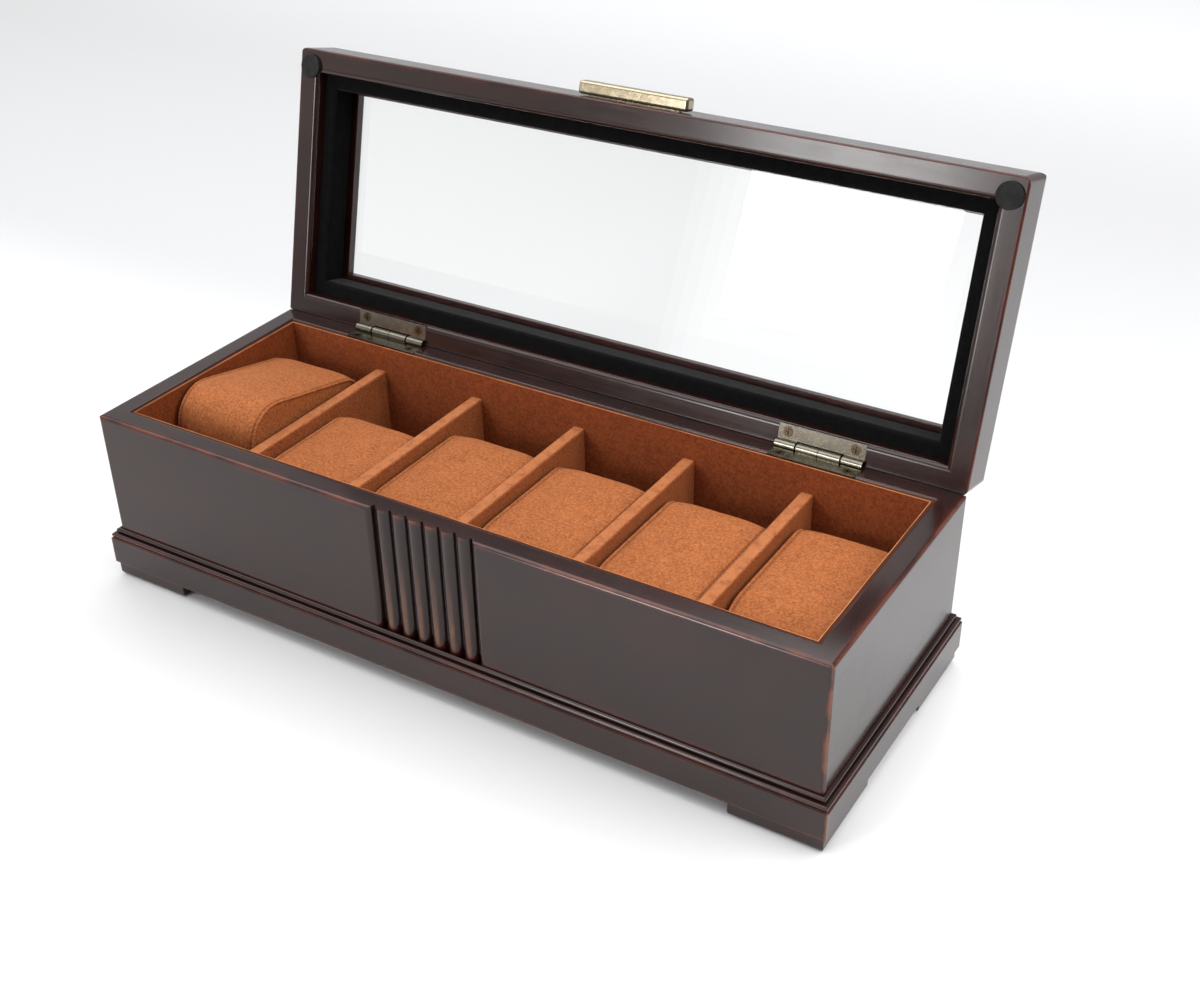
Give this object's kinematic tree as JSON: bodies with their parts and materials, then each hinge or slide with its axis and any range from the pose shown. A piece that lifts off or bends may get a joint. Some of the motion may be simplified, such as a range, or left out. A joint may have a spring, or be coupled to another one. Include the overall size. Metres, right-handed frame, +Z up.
{
  "type": "watch box",
  "caption": "Long dark wooden watch box on a plinth, with a hinged glazed lid, a reeded front panel, suede-lined places and a removable pillow in each.",
  "frame": {"origin": "on the floor, under the middle of the bounding box of the open box", "axes": "+X to the right along the front, +Y to the rear, +Z up"},
  "size_m": [0.3368, 0.1734, 0.1971],
  "materials": {
    "dark_wood": "dark mahogany stain under satin lacquer, reddish where the edges are rubbed",
    "bottom_board": "dark stained board",
    "suede_lining": "orange-brown suede cloth over board",
    "suede_divider": "orange-brown suede cloth over board",
    "suede_pillow": "orange-brown suede cloth with stitched end seams",
    "hinge_brass": "antique pale brass, tumbled",
    "screw_brass": "antique brass, darkened",
    "pull_brass": "antique pale brass, brushed",
    "glass": "clear float glass",
    "velvet": "black flock velvet",
    "bumper": "matt black"
  },
  "bodies": {
    "case": {"front_wall": "dark_wood", "rear_wall": "dark_wood", "left_wall": "dark_wood", "right_wall": "dark_wood", "bottom_panel": "bottom_board", "plinth_front": "dark_wood", "plinth_rear": "dark_wood", "plinth_left": "dark_wood", "plinth_right": "dark_wood", "foot_front_left": "dark_wood", "foot_front_right": "dark_wood", "foot_rear_left": "dark_wood", "foot_rear_right": "dark_wood", "lining_front": "suede_lining", "lining_rear": "suede_lining", "lining_left": "suede_lining", "lining_right": "suede_lining", "lining_floor": "suede_lining", "divider_1": "suede_divider", "divider_2": "suede_divider", "divider_3": "suede_divider", "divider_4": "suede_divider", "divider_5": "suede_divider", "hinge_left_base_leaf": "hinge_brass", "hinge_right_base_leaf": "hinge_brass", "hinge_left_pin": "hinge_brass", "hinge_right_pin": "hinge_brass", "base_hinge_screws": "screw_brass"},
    "lid": {"lid_front_rail": "dark_wood", "lid_rear_rail": "dark_wood", "lid_left_rail": "dark_wood", "lid_right_rail": "dark_wood", "glass_panel": "glass", "velvet_front": "velvet", "velvet_rear": "velvet", "velvet_left": "velvet", "velvet_right": "velvet", "bumper_left": "bumper", "bumper_right": "bumper", "lift_pull": "pull_brass", "pull_screws": "screw_brass", "hinge_left_lid_leaf": "hinge_brass", "hinge_right_lid_leaf": "hinge_brass", "lid_hinge_screws": "screw_brass"},
    "pillow_1": {"pillow_1": "suede_pillow"},
    "pillow_2": {"pillow_2": "suede_pillow"},
    "pillow_3": {"pillow_3": "suede_pillow"},
    "pillow_4": {"pillow_4": "suede_pillow"},
    "pillow_5": {"pillow_5": "suede_pillow"},
    "pillow_6": {"pillow_6": "suede_pillow"}
  },
  "joints": [
    {"name": "lid_hinge", "type": "hinge", "parent": "case", "child": "lid", "pos_m": [0, 0.03533, 0.0793], "axis": [-1, 0, 0], "range_deg": [-104, 0]},
    {"name": "pillow_1_lift", "type": "slide", "parent": "case", "child": "pillow_1", "axis": [0, 0, 1], "range_m": [0, 0.07]},
    {"name": "pillow_2_lift", "type": "slide", "parent": "case", "child": "pillow_2", "axis": [0, 0, 1], "range_m": [0, 0.07]},
    {"name": "pillow_3_lift", "type": "slide", "parent": "case", "child": "pillow_3", "axis": [0, 0, 1], "range_m": [0, 0.07]},
    {"name": "pillow_4_lift", "type": "slide", "parent": "case", "child": "pillow_4", "axis": [0, 0, 1], "range_m": [0, 0.07]},
    {"name": "pillow_5_lift", "type": "slide", "parent": "case", "child": "pillow_5", "axis": [0, 0, 1], "range_m": [0, 0.07]},
    {"name": "pillow_6_lift", "type": "slide", "parent": "case", "child": "pillow_6", "axis": [0, 0, 1], "range_m": [0, 0.07]}
  ]
}
